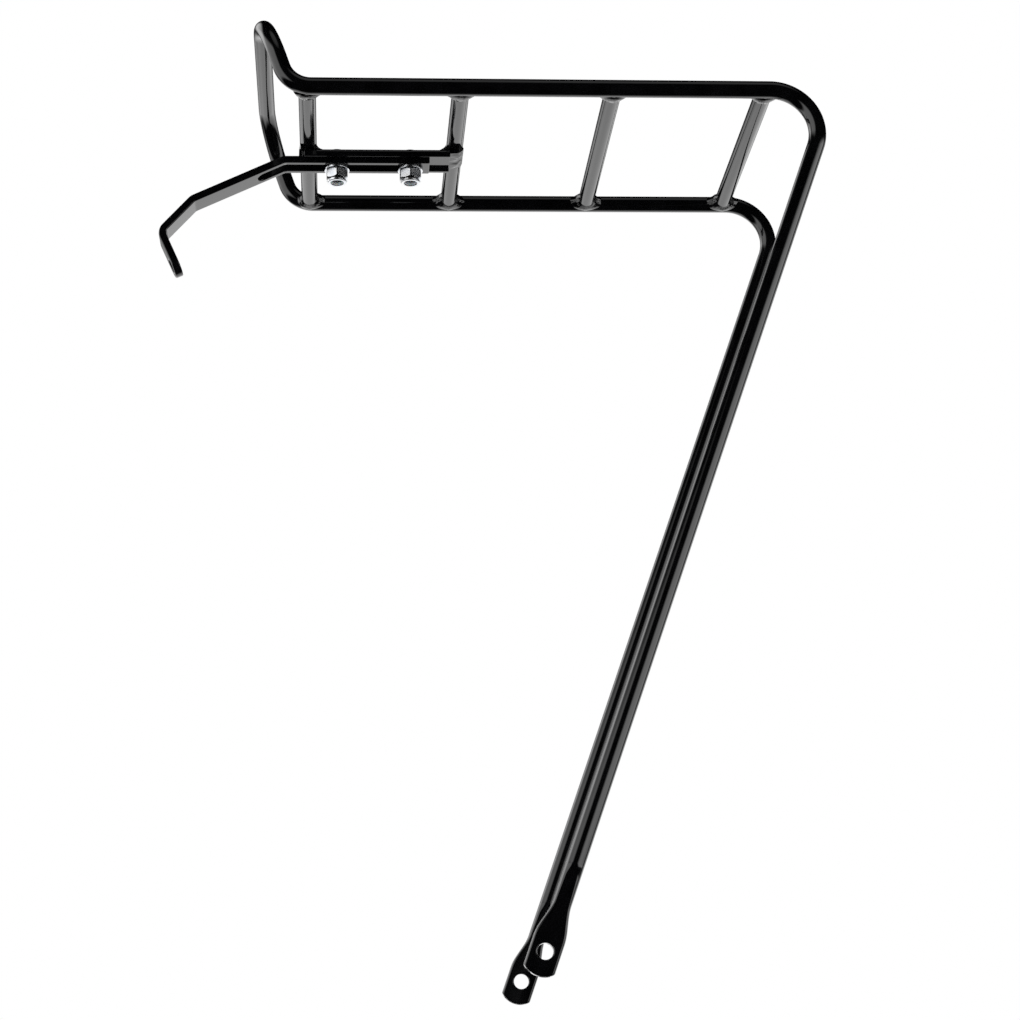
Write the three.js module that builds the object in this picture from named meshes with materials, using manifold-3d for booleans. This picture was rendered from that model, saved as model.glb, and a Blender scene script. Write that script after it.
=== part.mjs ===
// Front luggage rack for a bicycle, in millimetres, with +Z up and +X towards the front of the bicycle.
// One steel rod is bent into both legs, both side rails and the raised hoop at the rear. Four crossbars
// are welded between the rails, and a channel is welded under the two rear ones. A slotted flat stay is
// bolted into the channel and slides along its slot when its two lock nuts are loose.
//
// Inside the group called rack, X = 0 is the rear crossbar, Y = 0 the middle plane and Z = 0 the plane of
// the rails' centre lines. The exported group moves all that so that the origin is under the middle of
// the rack, at the height of the feet's lowest points.

import * as THREE from 'three';
import { mergeVertices } from 'three/addons/utils/BufferGeometryUtils.js';
import Module from 'manifold-3d';

// ---- Driving dimensions ----

const GAP = 0.3; // between welded neighbours
const BOLTED_GAP = 0.1; // between faces that a bolt clamps together

const ROD_RADIUS = 4;
const RAIL_SPACING = 126; // centre line to centre line
const BAR_PITCH = 70;
const BAR_COUNT = 4;

const FRONT_CORNER_X = 242.4; // where the centre lines of rail and leg would cross
const FRONT_BEND = 21;
const LEG_LEAN = degrees(20.6);
const LEG_LENGTH = 416.3; // from that corner to the bolt hole of the foot

const REAR_CORNER_X = -8.3; // where the centre lines of rail and hoop would cross
const REAR_BEND = 14;
const HOOP_LEAN = degrees(18);
const HOOP_HEIGHT = 39;
const HOOP_BEND = 26;

const FOOT_WIDTH = 13.5;
const FOOT_THICKNESS = 3.6;
const FOOT_HOLE_RADIUS = 3.4;
const FOOT_FULL_WIDTH_ABOVE_HOLE = 5;
const FOOT_PRESSING_LENGTH = 16; // length over which the round rod turns flat
const FOOT_SHIFT = 0.4; // rearwards, of the flat foot against the rod's centre line
const FOOT_END_RADIUS = 10;
const FOOT_END_CENTRE = 0.3; // the end's centre lies this far past the hole
const FOOT_OVERLENGTH = 3; // cut off beyond the foot's end

const CHANNEL_REAR_X = -2;
const CHANNEL_FRONT_X = 67.5;
const CHANNEL_WIDTH = 18.4;
const CHANNEL_DEPTH = 4.1;
const CHANNEL_SHEET = 2.4;
const CHANNEL_CORNER = 2;
const CHANNEL_TOP = -4.5;

const BOLT_RADIUS = 2.9;
const BOLT_HOLE_RADIUS = 3.3;
const BOLT_PITCH = 35;
const REAR_BOLT_X = 13.6;
const BOLT_HEAD_RADIUS = 5.25;
const BOLT_HEAD_HEIGHT = 2.1;
const BOLT_HEAD_RIM = 0.7; // height of the head's upright edge
const BOLT_HEAD_FLAT_RADIUS = 2.6; // of the flat top round the socket
const BOLT_CHAMFER = 0.6;
const BOLT_RECESS = 2; // of the shank's end inside the nut
const BOLT_SOCKET = 4; // across the flats
const BOLT_SOCKET_DEPTH = 1.4;

const WASHER_RADIUS = 6;
const WASHER_HOLE_RADIUS = 3.2;
const WASHER_THICKNESS = 1.6;

const NUT_ACROSS_FLATS = 10;
const NUT_HEIGHT = 6;
const NUT_HEX_HEIGHT = 4.6;
const NUT_COLLAR_RADIUS = 4.5;
const NUT_HOLE_RADIUS = 3.05;
const NUT_CHAMFER = 0.5;
const INSERT_RADIUS = 3.9;
const INSERT_HEIGHT = 1.7;
const INSERT_DEPTH = 0.25; // of its lower face inside the collar
const INSERT_CLEARANCE = 0.15; // above it

const STAY_WIDTH = 12;
const STAY_THICKNESS = 3.6;
const STAY_FRONT_X = 57.8;
const STAY_BEND = 5; // to the middle of the bar's thickness
const STAY_SLOT_WIDTH = 6.4;
const STAY_SLOT_REAR_X = -24.5;
const STAY_SLOT_FRONT_X = 54;
const STAY_HOLE_RADIUS = 3.5;
const STAY_HOLE_FROM_END = 6;
const STAY_END_RADIUS = STAY_WIDTH / 2;

// Straight runs of the stay from front to rear: length, and how far it then points below level rearwards.
const STAY_RUNS = [
  { length: 69.25, fall: degrees(0) },
  { length: 47.59, fall: degrees(25.6) },
  { length: 22.1, fall: degrees(48.3) },
  { length: 22.4, fall: degrees(113.3) },
];

const WELD_ROOT = 1.2; // a rail weld starts this far from the rail's axis
const WELD_REACH = 8.2; // of a rail weld from the crossbar's axis, along the rail
const WELD_RISE = 8.6; // of a rail weld from the rail's axis, along the crossbar
const WELD_THROAT = 1.2; // the fillet's thickness in the corner
const WELD_TOE = 0.6; // its thickness where it runs out on a bar
const WELD_FLATTENING = 0.64;
const CHANNEL_WELD_WIDTH = 17;

// Welds along the sides of a crossbar where it sits on the channel. Direction is +1 on the bar's front side
// and -1 on its rear side, reach is how far the weld spreads from the bar's axis, and rise how far it climbs.
const CHANNEL_WELDS = [
  { name: 'channel_weld_1_rear', bar: 0, direction: -1, reach: 5.2, rise: 3.4 },
  { name: 'channel_weld_1_front', bar: 0, direction: 1, reach: 7.4, rise: 3.4 },
  { name: 'channel_weld_2_rear', bar: 1, direction: -1, reach: 8.6, rise: 4.2 },
];

// ---- Values worked out from them ----

const RAIL_Y = RAIL_SPACING / 2;
const LEG_DOWN = new THREE.Vector3(-Math.sin(LEG_LEAN), 0, -Math.cos(LEG_LEAN));
const LEG_ACROSS = new THREE.Vector3(Math.cos(LEG_LEAN), 0, -Math.sin(LEG_LEAN));
const FOOT_END_Z = LEG_DOWN.z * (LEG_LENGTH + FOOT_END_CENTRE) - LEG_ACROSS.z * FOOT_SHIFT;
const FEET_Z = FOOT_END_Z - FOOT_END_RADIUS;
const FRONT_SETBACK = FRONT_BEND / Math.tan((Math.PI / 2 - LEG_LEAN) / 2);
const FRONT_X = FRONT_CORNER_X - FRONT_SETBACK + FRONT_BEND + ROD_RADIUS;
const FOOT_PRESSED = LEG_LENGTH - FOOT_FULL_WIDTH_ABOVE_HOLE; // from the corner to where the foot is flat
const FOOT_ROUND = FOOT_PRESSED - FOOT_PRESSING_LENGTH; // from the corner to where the rod is still round

const CHANNEL_WEB_UNDER = CHANNEL_TOP - CHANNEL_SHEET;
const STAY_TOP = CHANNEL_WEB_UNDER - BOLTED_GAP;
const WASHER_TOP = STAY_TOP - STAY_THICKNESS - BOLTED_GAP;
const NUT_TOP = WASHER_TOP - WASHER_THICKNESS - BOLTED_GAP;
const BOLT_SEAT = CHANNEL_TOP + BOLTED_GAP;

// ---- Materials ----

const BLACK_PAINT = new THREE.MeshStandardMaterial({ color: 0x08080a, roughness: 0.22, metalness: 0 });
const ZINC = new THREE.MeshStandardMaterial({ color: 0xc9cdd2, roughness: 0.28, metalness: 1 });
const NYLON = new THREE.MeshStandardMaterial({ color: 0xd9dde0, roughness: 0.55, metalness: 0 });

// ---- Helpers ----

function degrees(angle) {
  return THREE.MathUtils.degToRad(angle);
}

function part(name, geometry, material, x = 0, y = 0, z = 0) {
  const mesh = new THREE.Mesh(geometry, material);
  mesh.name = name;
  mesh.position.set(x, y, z);
  return mesh;
}

const wasm = await Module();
wasm.setup();

// A closed geometry as a solid that can be cut and joined.
function solid(geometry) {
  const bare = geometry.clone();
  bare.deleteAttribute('normal');
  bare.deleteAttribute('uv');
  const merged = mergeVertices(bare, 1e-4);
  const mesh = new wasm.Mesh({
    numProp: 3,
    vertProperties: new Float32Array(merged.attributes.position.array),
    triVerts: new Uint32Array(merged.index.array),
  });
  return new wasm.Manifold(mesh);
}

// A solid as a geometry again.
function geometryOf(shape) {
  const mesh = shape.getMesh();
  const geometry = new THREE.BufferGeometry();
  geometry.setAttribute('position', new THREE.BufferAttribute(mesh.vertProperties, 3));
  geometry.setIndex(new THREE.BufferAttribute(mesh.triVerts, 1));
  return geometry;
}

// The first geometry with all the others cut away.
function cut(geometry, ...cutters) {
  let shape = solid(geometry);
  for (const cutter of cutters) {
    shape = shape.subtract(solid(cutter));
  }
  return geometryOf(shape);
}

function cylinderAlongZ(radius, bottom, top, segments = 32) {
  const geometry = new THREE.CylinderGeometry(radius, radius, top - bottom, segments);
  geometry.rotateX(Math.PI / 2);
  geometry.translate(0, 0, (top + bottom) / 2);
  return geometry;
}

// A profile of [radius, z] points turned about the Z axis.
function turned(profile, segments = 40) {
  const points = profile.map(([radius, z]) => new THREE.Vector2(radius, z));
  const geometry = new THREE.LatheGeometry(points, segments);
  geometry.rotateX(Math.PI / 2);
  return geometry;
}

// An outline in the XZ plane made into a slab of the given width about Y = 0.
function slabAcross(shape, width) {
  const geometry = new THREE.ExtrudeGeometry(shape, { depth: width, bevelEnabled: false, curveSegments: 24 });
  geometry.rotateX(Math.PI / 2);
  geometry.translate(0, width / 2, 0);
  return geometry;
}

// ---- Paths of straight runs and bends ----

// The arc that rounds the corner between two straight runs.
class Bend extends THREE.Curve {
  constructor(before, corner, after, radius) {
    super();
    const back = before.clone().sub(corner).normalize();
    const ahead = after.clone().sub(corner).normalize();
    const halfCorner = back.angleTo(ahead) / 2;
    const setback = radius / Math.tan(halfCorner);
    const inwards = back.clone().add(ahead).normalize();
    this.radius = radius;
    this.turn = Math.PI - 2 * halfCorner;
    this.start = corner.clone().addScaledVector(back, setback);
    this.end = corner.clone().addScaledVector(ahead, setback);
    this.centre = corner.clone().addScaledVector(inwards, radius / Math.sin(halfCorner));
    this.outwards = this.start.clone().sub(this.centre).normalize();
    this.along = back.negate();
  }

  getPoint(t, target = new THREE.Vector3()) {
    const angle = this.turn * t;
    target.copy(this.centre);
    target.addScaledVector(this.outwards, this.radius * Math.cos(angle));
    target.addScaledVector(this.along, this.radius * Math.sin(angle));
    return target;
  }
}

// Curves laid end to end, where each takes a share of the parameter equal to its number of steps.
class SteppedPath extends THREE.Curve {
  constructor(stretches) {
    super();
    this.stretches = stretches;
    this.steps = stretches.reduce((sum, stretch) => sum + stretch.steps, 0);
  }

  getPoint(t, target = new THREE.Vector3()) {
    let place = THREE.MathUtils.clamp(t, 0, 1) * this.steps;
    for (const { curve, steps } of this.stretches) {
      if (place <= steps) {
        return curve.getPoint(place / steps, target);
      }
      place -= steps;
    }
    return this.stretches.at(-1).curve.getPoint(1, target);
  }

  getUtoTmapping(u) {
    return u;
  }
}

// A path through corners that are rounded by bends. Each bend gets a step for about every 9 degrees.
function bentPath(corners, radii) {
  const stretches = [];
  let from = corners[0];
  for (let i = 1; i < corners.length - 1; i += 1) {
    const bend = new Bend(corners[i - 1], corners[i], corners[i + 1], radii[i - 1]);
    stretches.push({ curve: new THREE.LineCurve3(from, bend.start), steps: 1 });
    stretches.push({ curve: bend, steps: Math.ceil(bend.turn / degrees(9)) });
    from = bend.end;
  }
  stretches.push({ curve: new THREE.LineCurve3(from, corners.at(-1)), steps: 1 });
  return new SteppedPath(stretches);
}

function sweep(section, path) {
  return new THREE.ExtrudeGeometry(section, { steps: path.steps, extrudePath: path, curveSegments: 8 });
}

// ---- The rod: feet, legs, rails and hoop ----

function footPoint(side, distance) {
  const corner = new THREE.Vector3(FRONT_CORNER_X, side * RAIL_Y, 0);
  return corner.addScaledVector(LEG_DOWN, distance);
}

// The rod's centre line, from past the end of the right foot to past the end of the left one.
function rodPath() {
  const end = LEG_LENGTH + FOOT_END_CENTRE + FOOT_END_RADIUS + FOOT_OVERLENGTH;
  const hoopX = REAR_CORNER_X - HOOP_HEIGHT * Math.tan(HOOP_LEAN);
  const corners = [
    footPoint(-1, FOOT_ROUND),
    new THREE.Vector3(FRONT_CORNER_X, -RAIL_Y, 0),
    new THREE.Vector3(REAR_CORNER_X, -RAIL_Y, 0),
    new THREE.Vector3(hoopX, -RAIL_Y, HOOP_HEIGHT),
    new THREE.Vector3(hoopX, RAIL_Y, HOOP_HEIGHT),
    new THREE.Vector3(REAR_CORNER_X, RAIL_Y, 0),
    new THREE.Vector3(FRONT_CORNER_X, RAIL_Y, 0),
    footPoint(1, FOOT_ROUND),
  ];
  const middle = bentPath(corners, [FRONT_BEND, REAR_BEND, HOOP_BEND, HOOP_BEND, REAR_BEND, FRONT_BEND]);
  const foot = (side) => [
    { curve: new THREE.LineCurve3(footPoint(side, end), footPoint(side, FOOT_PRESSED)), steps: 1 },
    { curve: new THREE.LineCurve3(footPoint(side, FOOT_PRESSED), footPoint(side, FOOT_ROUND)), steps: 7 },
  ];
  const backwards = ({ curve, steps }) => ({ curve: new THREE.LineCurve3(curve.v2, curve.v1), steps });
  return new SteppedPath([...foot(-1), ...middle.stretches, ...foot(1).map(backwards).reverse()]);
}

// Presses the ends of the rod flat between two dies: it gets thinner across Y, and wider and further to the
// rear along the foot.
function pressFeet(geometry) {
  const position = geometry.attributes.position;
  const point = new THREE.Vector3();
  for (let i = 0; i < position.count; i += 1) {
    point.fromBufferAttribute(position, i);
    const side = Math.sign(point.y);
    const fromCorner = point.clone().sub(footPoint(side, 0));
    const amount = THREE.MathUtils.smoothstep(fromCorner.dot(LEG_DOWN), FOOT_ROUND, FOOT_PRESSED);
    if (amount > 0) {
      const across = fromCorner.dot(LEG_ACROSS);
      const wider = THREE.MathUtils.lerp(1, FOOT_WIDTH / (2 * ROD_RADIUS), amount) - 1;
      const half = THREE.MathUtils.lerp(ROD_RADIUS, FOOT_THICKNESS / 2, amount);
      point.addScaledVector(LEG_ACROSS, across * wider - amount * FOOT_SHIFT);
      point.y = side * RAIL_Y + THREE.MathUtils.clamp(fromCorner.y, -half, half);
      position.setXYZ(i, point.x, point.y, point.z);
    }
  }
  return geometry;
}

// What is cut away past the foot's rounded end, drawn with x across the foot and y down the leg.
function footEndCutter() {
  const shape = new THREE.Shape();
  const outside = FOOT_WIDTH;
  shape.moveTo(-outside, FOOT_END_CENTRE);
  shape.lineTo(-FOOT_END_RADIUS, FOOT_END_CENTRE);
  shape.absarc(0, FOOT_END_CENTRE, FOOT_END_RADIUS, Math.PI, 0, true);
  shape.lineTo(outside, FOOT_END_CENTRE);
  shape.lineTo(outside, 2 * outside);
  shape.lineTo(-outside, 2 * outside);
  shape.closePath();
  return new THREE.ExtrudeGeometry(shape, { depth: FOOT_WIDTH, bevelEnabled: false, curveSegments: 24 });
}

function footHoleCutter() {
  return cylinderAlongZ(FOOT_HOLE_RADIUS, 0, FOOT_WIDTH);
}

// Puts a cutter drawn across and down the leg on one foot, with its origin at the bolt hole.
function onFoot(cutter, side) {
  const through = new THREE.Vector3().crossVectors(LEG_ACROSS, LEG_DOWN);
  const place = new THREE.Matrix4().makeBasis(LEG_ACROSS, LEG_DOWN, through);
  const hole = footPoint(side, LEG_LENGTH).addScaledVector(LEG_ACROSS, -FOOT_SHIFT);
  place.setPosition(hole.addScaledVector(through, -FOOT_WIDTH / 2));
  cutter.applyMatrix4(place);
  return cutter;
}

function rodSection(radius) {
  return new THREE.Shape().absarc(0, 0, radius, 0, 2 * Math.PI);
}

function frameRod() {
  const rod = pressFeet(sweep(rodSection(ROD_RADIUS), rodPath()));
  const cutters = [-1, 1].flatMap((side) => [onFoot(footEndCutter(), side), onFoot(footHoleCutter(), side)]);
  return cut(rod, ...cutters);
}

// ---- Crossbars and their welds ----

function barX(index) {
  return index * BAR_PITCH;
}

function barRod(radius) {
  return new THREE.CylinderGeometry(radius, radius, RAIL_SPACING, 24);
}

function crossbar(index, rodClearance) {
  const bar = barRod(ROD_RADIUS);
  bar.translate(barX(index), 0, 0);
  return cut(bar, rodClearance);
}

// The fillet of weld metal round one end of a crossbar, where it meets a rail.
function railWeld(index, side, rodClearance) {
  const flare = new THREE.QuadraticBezierCurve(
    new THREE.Vector2(WELD_REACH, ROD_RADIUS),
    new THREE.Vector2(ROD_RADIUS + WELD_THROAT, ROD_RADIUS + WELD_THROAT),
    new THREE.Vector2(ROD_RADIUS + WELD_TOE, WELD_RISE),
  );
  const profile = [
    new THREE.Vector2(0, WELD_ROOT),
    new THREE.Vector2(WELD_REACH, WELD_ROOT),
    ...flare.getPoints(6),
    new THREE.Vector2(0, WELD_RISE),
  ];
  const weld = new THREE.LatheGeometry(profile, 24);
  weld.scale(1, 1, WELD_FLATTENING);
  if (side > 0) {
    weld.rotateX(Math.PI);
  }
  weld.translate(barX(index), side * RAIL_Y, 0);
  const barClearance = barRod(ROD_RADIUS + GAP);
  barClearance.translate(barX(index), 0, 0);
  return cut(weld, rodClearance, barClearance);
}

// ---- The channel and its welds ----

function channel() {
  const half = CHANNEL_WIDTH / 2;
  const inner = half - CHANNEL_SHEET;
  const bottom = CHANNEL_TOP - CHANNEL_DEPTH;
  const shape = new THREE.Shape();
  shape.moveTo(half, bottom);
  shape.lineTo(half, CHANNEL_TOP - CHANNEL_CORNER);
  shape.absarc(half - CHANNEL_CORNER, CHANNEL_TOP - CHANNEL_CORNER, CHANNEL_CORNER, 0, Math.PI / 2);
  shape.absarc(-half + CHANNEL_CORNER, CHANNEL_TOP - CHANNEL_CORNER, CHANNEL_CORNER, Math.PI / 2, Math.PI);
  shape.lineTo(-half, bottom);
  shape.lineTo(-inner, bottom);
  shape.lineTo(-inner, CHANNEL_WEB_UNDER);
  shape.lineTo(inner, CHANNEL_WEB_UNDER);
  shape.lineTo(inner, bottom);
  shape.closePath();
  const length = CHANNEL_FRONT_X - CHANNEL_REAR_X;
  const body = new THREE.ExtrudeGeometry(shape, { depth: length, bevelEnabled: false, curveSegments: 6 });
  body.applyMatrix4(
    new THREE.Matrix4().makeBasis(
      new THREE.Vector3(0, 1, 0),
      new THREE.Vector3(0, 0, 1),
      new THREE.Vector3(1, 0, 0),
    ),
  );
  body.translate(CHANNEL_REAR_X, 0, 0);
  const holes = boltPlaces().map((x) => {
    const hole = cylinderAlongZ(BOLT_HOLE_RADIUS, CHANNEL_WEB_UNDER - 1, CHANNEL_TOP + 1);
    hole.translate(x, 0, 0);
    return hole;
  });
  return cut(body, ...holes);
}

// An outline in the XZ plane as a weld across the channel, with the crossbar's clearance cut from it.
function acrossChannel(shape, bar) {
  const barClearance = barRod(ROD_RADIUS + GAP);
  barClearance.translate(barX(bar), 0, 0);
  return cut(slabAcross(shape, CHANNEL_WELD_WIDTH), barClearance);
}

function channelWeld({ bar, direction, reach, rise }) {
  const under = CHANNEL_TOP + GAP;
  const axis = barX(bar);
  const toe = axis + direction * reach;
  const shape = new THREE.Shape();
  shape.moveTo(axis, under);
  shape.lineTo(toe, under);
  shape.lineTo(toe, under + WELD_TOE);
  shape.quadraticCurveTo(
    axis + direction * (ROD_RADIUS + WELD_THROAT),
    under + 0.3 * rise,
    axis + direction * (ROD_RADIUS + WELD_TOE),
    under + rise,
  );
  shape.lineTo(axis, under + rise);
  shape.closePath();
  return acrossChannel(shape, bar);
}

// The weld under the second crossbar, from the channel's front end to the front of the bar.
function channelEndWeld() {
  const rear = CHANNEL_FRONT_X + GAP;
  const bottom = CHANNEL_WEB_UNDER;
  const front = barX(1) + ROD_RADIUS;
  const shape = new THREE.Shape();
  shape.moveTo(rear, CHANNEL_TOP);
  shape.lineTo(rear, bottom);
  shape.quadraticCurveTo(front - WELD_THROAT, bottom, front, bottom / 2);
  shape.lineTo(barX(1), bottom / 2);
  shape.lineTo(barX(1), CHANNEL_TOP);
  shape.closePath();
  return acrossChannel(shape, 1);
}

// ---- The stay ----

function stayCorners() {
  const corners = [new THREE.Vector3(STAY_FRONT_X, 0, STAY_TOP - STAY_THICKNESS / 2)];
  for (const { length, fall } of STAY_RUNS) {
    const step = new THREE.Vector3(-Math.cos(fall), 0, -Math.sin(fall));
    corners.push(corners.at(-1).clone().addScaledVector(step, length));
  }
  return corners;
}

function slotCutter() {
  const half = STAY_SLOT_WIDTH / 2;
  const shape = new THREE.Shape();
  shape.absarc(STAY_SLOT_FRONT_X - half, 0, half, -Math.PI / 2, Math.PI / 2);
  shape.absarc(STAY_SLOT_REAR_X + half, 0, half, Math.PI / 2, 1.5 * Math.PI);
  shape.closePath();
  const depth = 30;
  const cutter = new THREE.ExtrudeGeometry(shape, { depth, bevelEnabled: false, curveSegments: 16 });
  cutter.translate(0, 0, STAY_TOP - depth + 2);
  return cutter;
}

// Puts a cutter on the stay's last run, drawn with x up the run from the middle of its end, and y across.
function onStayEnd(cutter, corners) {
  const end = corners.at(-1);
  const up = corners.at(-2).clone().sub(end).normalize();
  const across = new THREE.Vector3(0, 1, 0);
  const through = new THREE.Vector3().crossVectors(up, across);
  const place = new THREE.Matrix4().makeBasis(up, across, through);
  place.setPosition(end);
  cutter.applyMatrix4(place);
  return cutter;
}

function stayHoleCutter() {
  const hole = cylinderAlongZ(STAY_HOLE_RADIUS, -STAY_THICKNESS, STAY_THICKNESS);
  hole.translate(STAY_HOLE_FROM_END, 0, 0);
  return hole;
}

// What is cut away outside the stay's rounded end.
function stayEndCutter() {
  const outside = STAY_WIDTH;
  const shape = new THREE.Shape();
  shape.moveTo(STAY_END_RADIUS, -outside);
  shape.lineTo(STAY_END_RADIUS, -STAY_END_RADIUS);
  shape.absarc(STAY_END_RADIUS, 0, STAY_END_RADIUS, -Math.PI / 2, -1.5 * Math.PI, true);
  shape.lineTo(STAY_END_RADIUS, outside);
  shape.lineTo(-outside, outside);
  shape.lineTo(-outside, -outside);
  shape.closePath();
  const depth = 2 * STAY_THICKNESS;
  const cutter = new THREE.ExtrudeGeometry(shape, { depth, bevelEnabled: false, curveSegments: 24 });
  cutter.translate(0, 0, -STAY_THICKNESS);
  return cutter;
}

function stay() {
  const corners = stayCorners();
  const path = bentPath(corners, STAY_RUNS.slice(1).map(() => STAY_BEND));
  const section = new THREE.Shape();
  section.moveTo(-STAY_THICKNESS / 2, -STAY_WIDTH / 2);
  section.lineTo(STAY_THICKNESS / 2, -STAY_WIDTH / 2);
  section.lineTo(STAY_THICKNESS / 2, STAY_WIDTH / 2);
  section.lineTo(-STAY_THICKNESS / 2, STAY_WIDTH / 2);
  section.closePath();
  const cutters = [stayHoleCutter(), stayEndCutter()].map((cutter) => onStayEnd(cutter, corners));
  return cut(sweep(section, path), slotCutter(), ...cutters);
}

// The X of the stay's rearmost point, on the outside of its last bend.
function stayRearX() {
  const corners = stayCorners();
  const bend = new Bend(corners.at(-3), corners.at(-2), corners.at(-1), STAY_BEND);
  return bend.centre.x - STAY_BEND - STAY_THICKNESS / 2;
}

// ---- Bolts, washers and lock nuts ----

function boltPlaces() {
  return [REAR_BOLT_X, REAR_BOLT_X + BOLT_PITCH];
}

function hexagon(acrossFlats) {
  const shape = new THREE.Shape();
  const radius = acrossFlats / Math.sqrt(3);
  for (let i = 0; i < 6; i += 1) {
    const angle = degrees(30 + 60 * i);
    shape[i === 0 ? 'moveTo' : 'lineTo'](radius * Math.cos(angle), radius * Math.sin(angle));
  }
  shape.closePath();
  return shape;
}

function hexPrism(acrossFlats, height) {
  return new THREE.ExtrudeGeometry(hexagon(acrossFlats), { depth: height, bevelEnabled: false });
}

// A button-head bolt with its seat at Z = 0, its head above and its shank reaching down to the nut's end.
function bolt() {
  const shankEnd = NUT_TOP - NUT_HEIGHT + BOLT_RECESS - BOLT_SEAT;
  const dome = new THREE.QuadraticBezierCurve(
    new THREE.Vector2(BOLT_HEAD_RADIUS, BOLT_HEAD_RIM),
    new THREE.Vector2(BOLT_HEAD_RADIUS - BOLT_CHAMFER, BOLT_HEAD_HEIGHT),
    new THREE.Vector2(BOLT_HEAD_FLAT_RADIUS, BOLT_HEAD_HEIGHT),
  );
  const profile = [
    [0, shankEnd],
    [BOLT_RADIUS - BOLT_CHAMFER, shankEnd],
    [BOLT_RADIUS, shankEnd + BOLT_CHAMFER],
    [BOLT_RADIUS, 0],
    [BOLT_HEAD_RADIUS, 0],
    ...dome.getPoints(6).map((point) => [point.x, point.y]),
    [0, BOLT_HEAD_HEIGHT],
  ];
  const socket = hexPrism(BOLT_SOCKET, BOLT_SOCKET_DEPTH + 1);
  socket.translate(0, 0, BOLT_HEAD_HEIGHT - BOLT_SOCKET_DEPTH);
  return cut(turned(profile), socket);
}

// A flat washer that hangs down from Z = 0.
function washer() {
  return turned([
    [WASHER_HOLE_RADIUS, -WASHER_THICKNESS],
    [WASHER_RADIUS, -WASHER_THICKNESS],
    [WASHER_RADIUS, 0],
    [WASHER_HOLE_RADIUS, 0],
    [WASHER_HOLE_RADIUS, -WASHER_THICKNESS],
  ]);
}

// A lock nut that hangs down from Z = 0: a hexagon with rounded-off corners, and a collar that holds the
// nylon insert.
function nut() {
  const outside = turned([
    [0, -NUT_HEIGHT],
    [NUT_COLLAR_RADIUS - NUT_CHAMFER, -NUT_HEIGHT],
    [NUT_COLLAR_RADIUS, -NUT_HEIGHT + NUT_CHAMFER],
    [NUT_COLLAR_RADIUS, -NUT_HEX_HEIGHT],
    [NUT_ACROSS_FLATS / 2, -NUT_HEX_HEIGHT],
    [NUT_ACROSS_FLATS / Math.sqrt(3), -NUT_HEX_HEIGHT + NUT_CHAMFER],
    [NUT_ACROSS_FLATS / Math.sqrt(3), -NUT_CHAMFER],
    [NUT_ACROSS_FLATS / 2, 0],
    [0, 0],
  ]);
  const hex = hexPrism(NUT_ACROSS_FLATS, NUT_HEIGHT);
  hex.translate(0, 0, -NUT_HEIGHT);
  const body = geometryOf(solid(outside).intersect(solid(hex)));
  const thread = cylinderAlongZ(NUT_HOLE_RADIUS, -NUT_HEIGHT - 1, 1);
  const recessTop = -NUT_HEIGHT + INSERT_DEPTH + INSERT_HEIGHT + INSERT_CLEARANCE;
  const recess = cylinderAlongZ(INSERT_RADIUS + BOLTED_GAP, -NUT_HEIGHT - 1, recessTop);
  return cut(body, thread, recess);
}

// The nylon ring in the nut's collar.
function insert() {
  const bottom = -NUT_HEIGHT + INSERT_DEPTH;
  return turned([
    [NUT_HOLE_RADIUS, bottom],
    [INSERT_RADIUS, bottom],
    [INSERT_RADIUS, bottom + INSERT_HEIGHT],
    [NUT_HOLE_RADIUS, bottom + INSERT_HEIGHT],
    [NUT_HOLE_RADIUS, bottom],
  ]);
}

// ---- Assembly ----

const rack = new THREE.Group();
rack.add(part('frame_rod', frameRod(), BLACK_PAINT));

const rodClearance = sweep(rodSection(ROD_RADIUS + GAP), rodPath());
for (let index = 0; index < BAR_COUNT; index += 1) {
  const number = index + 1;
  rack.add(part(`crossbar_${number}`, crossbar(index, rodClearance), BLACK_PAINT));
  rack.add(part(`weld_${number}_right`, railWeld(index, -1, rodClearance), BLACK_PAINT));
  rack.add(part(`weld_${number}_left`, railWeld(index, 1, rodClearance), BLACK_PAINT));
}

rack.add(part('stay_channel', channel(), BLACK_PAINT));
for (const weld of CHANNEL_WELDS) {
  rack.add(part(weld.name, channelWeld(weld), BLACK_PAINT));
}
rack.add(part('channel_weld_2_front', channelEndWeld(), BLACK_PAINT));

rack.add(part('stay', stay(), BLACK_PAINT));

boltPlaces().forEach((x, index) => {
  const number = index + 1;
  rack.add(part(`bolt_${number}`, bolt(), ZINC, x, 0, BOLT_SEAT));
  rack.add(part(`washer_${number}`, washer(), ZINC, x, 0, WASHER_TOP));
  rack.add(part(`lock_nut_${number}`, nut(), ZINC, x, 0, NUT_TOP));
  rack.add(part(`nylon_insert_${number}`, insert(), NYLON, x, 0, NUT_TOP));
});

rack.position.set(-(FRONT_X + stayRearX()) / 2, 0, -FEET_Z);

const object = new THREE.Group();
object.add(rack);

export default object;
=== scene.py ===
import math

import bmesh
import bpy
from mathutils import Matrix, Vector, noise


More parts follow.
